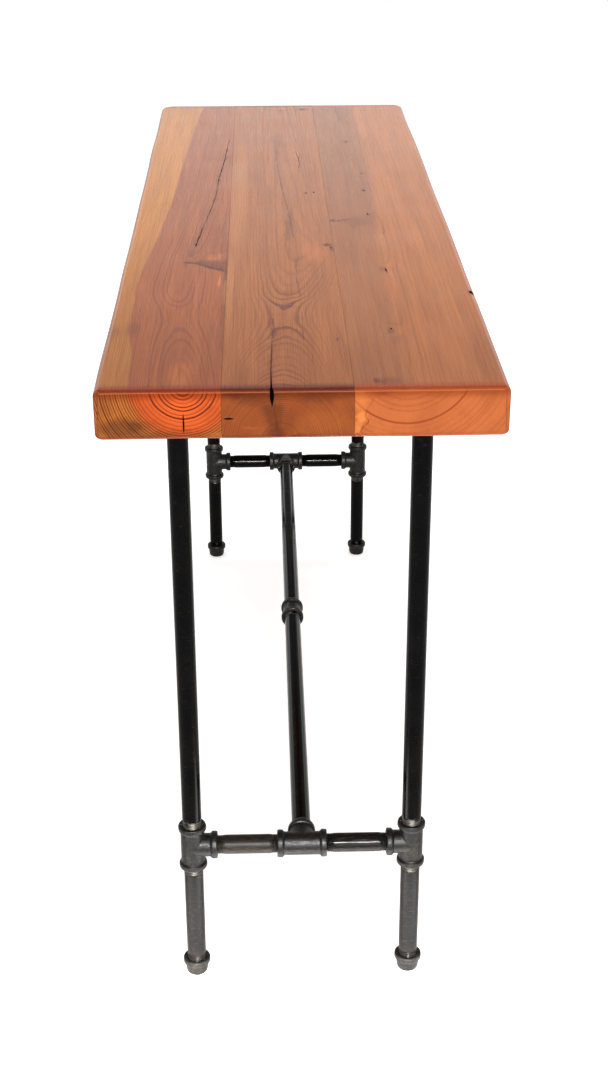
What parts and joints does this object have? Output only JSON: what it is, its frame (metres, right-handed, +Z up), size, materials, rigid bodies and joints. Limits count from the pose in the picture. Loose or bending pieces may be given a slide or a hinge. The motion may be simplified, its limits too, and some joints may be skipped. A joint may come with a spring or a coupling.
{
  "type": "console table",
  "caption": "Narrow console table: a thick varnished timber top glued up from boards, on a frame of threaded black iron pipe with tees, a stretcher and cap feet.",
  "frame": {"origin": "on the floor, under the centre of the top", "axes": "+X along the table's length, +Y across it from the front long side to the back one, +Z up"},
  "size_m": [1.302, 0.3828, 0.7475],
  "materials": {
    "wood_front": "semi-gloss clear varnish over red-brown knotty timber with a pale sapwood edge",
    "wood_middle": "semi-gloss clear varnish over grey-brown figured timber",
    "wood_back": "semi-gloss clear varnish over pink-brown timber with a blue-grey stain",
    "pipe_black": "semi-gloss black lacquer on steel pipe, bright at the cut threads",
    "fitting_iron": "dark oiled casting with a fine sandy skin",
    "screw_steel": "black oxide"
  },
  "bodies": {
    "root": {"top_board_front": "wood_front", "top_board_middle": "wood_middle", "top_board_back": "wood_back", "foot_cap_right_front": "fitting_iron", "lower_leg_pipe_right_front": "pipe_black", "leg_tee_right_front": "fitting_iron", "upper_leg_pipe_right_front": "pipe_black", "floor_flange_right_front": "fitting_iron", "flange_screw_right_front_1": "screw_steel", "flange_screw_right_front_2": "screw_steel", "flange_screw_right_front_3": "screw_steel", "flange_screw_right_front_4": "screw_steel", "foot_cap_right_back": "fitting_iron", "lower_leg_pipe_right_back": "pipe_black", "leg_tee_right_back": "fitting_iron", "upper_leg_pipe_right_back": "pipe_black", "floor_flange_right_back": "fitting_iron", "flange_screw_right_back_1": "screw_steel", "flange_screw_right_back_2": "screw_steel", "flange_screw_right_back_3": "screw_steel", "flange_screw_right_back_4": "screw_steel", "cross_nipple_right_front": "pipe_black", "cross_nipple_right_back": "pipe_black", "centre_tee_right": "fitting_iron", "foot_cap_left_front": "fitting_iron", "lower_leg_pipe_left_front": "pipe_black", "leg_tee_left_front": "fitting_iron", "upper_leg_pipe_left_front": "pipe_black", "floor_flange_left_front": "fitting_iron", "flange_screw_left_front_1": "screw_steel", "flange_screw_left_front_2": "screw_steel", "flange_screw_left_front_3": "screw_steel", "flange_screw_left_front_4": "screw_steel", "foot_cap_left_back": "fitting_iron", "lower_leg_pipe_left_back": "pipe_black", "leg_tee_left_back": "fitting_iron", "upper_leg_pipe_left_back": "pipe_black", "floor_flange_left_back": "fitting_iron", "flange_screw_left_back_1": "screw_steel", "flange_screw_left_back_2": "screw_steel", "flange_screw_left_back_3": "screw_steel", "flange_screw_left_back_4": "screw_steel", "cross_nipple_left_front": "pipe_black", "cross_nipple_left_back": "pipe_black", "centre_tee_left": "fitting_iron", "stretcher_pipe_right": "pipe_black", "stretcher_pipe_left": "pipe_black", "stretcher_coupling": "fitting_iron"}
  },
  "joints": []
}
